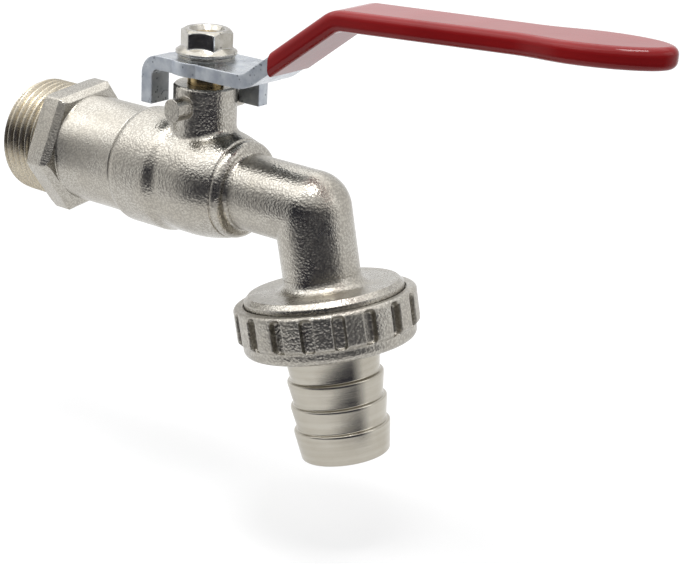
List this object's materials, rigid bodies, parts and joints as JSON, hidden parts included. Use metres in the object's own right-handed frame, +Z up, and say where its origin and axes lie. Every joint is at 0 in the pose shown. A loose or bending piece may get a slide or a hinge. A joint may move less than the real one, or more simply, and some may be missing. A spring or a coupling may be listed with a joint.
{
  "type": "hose tap",
  "caption": "Lever ball tap with a threaded inlet, a cast elbow spout and a fluted union nut that clamps a barbed hose tail; a red dipped lever turns a quarter turn to close it.",
  "frame": {"origin": "centre of the shoulder where the inlet thread meets the spanner hexagon, on the inlet axis", "axes": "+X along the inlet axis from the wall towards the outlet, +Z up along the stem, +Y to the left of someone looking along +X"},
  "size_m": [0.1591, 0.0392, 0.1027],
  "materials": {
    "cast_nickel": "nickel plated casting, fine pebbled satin",
    "turned_nickel": "nickel plated, turned smooth",
    "plated_ball": "polished and chromium plated",
    "seat_plastic": "white waxy plastic",
    "bare_brass": "bare turned brass",
    "black_rubber": "matte",
    "zinc_steel": "zinc plated, bluish",
    "red_coat": "dipped, glossy dark red",
    "nut_steel": "plated, bright, slightly warm"
  },
  "bodies": {
    "valve": {"body": "cast_nickel", "inlet_end": "cast_nickel", "inlet_seat": "seat_plastic", "outlet_seat": "seat_plastic"},
    "spindle": {"stem": "bare_brass", "ball": "plated_ball", "thrust_washer": "seat_plastic", "lower_stem_ring": "black_rubber", "upper_stem_ring": "black_rubber", "lever": "zinc_steel", "lever_grip": "red_coat", "lever_washer": "nut_steel", "lever_nut": "nut_steel"},
    "tail": {"hose_tail": "turned_nickel", "gasket": "black_rubber"},
    "union": {"union_nut": "cast_nickel"}
  },
  "joints": [
    {"name": "lever_turn", "type": "hinge", "parent": "valve", "child": "spindle", "pos_m": [0.0397, 0, 0], "axis": [0, 0, 1], "range_deg": [-90, 0]},
    {"name": "tail_drop", "type": "slide", "parent": "valve", "child": "tail", "axis": [0.2284, 0, -0.9736], "range_m": [0, 0.00462]},
    {"name": "nut_turn", "type": "hinge", "parent": "tail", "child": "union", "pos_m": [0.07573, 0, -0.02356], "axis": [0.2284, 0, -0.9736], "range_deg": [0, 720]}
  ],
  "couplings": [
    {"joint": "nut_turn", "follows": "tail_drop", "rad_per_m": 2721.2}
  ]
}
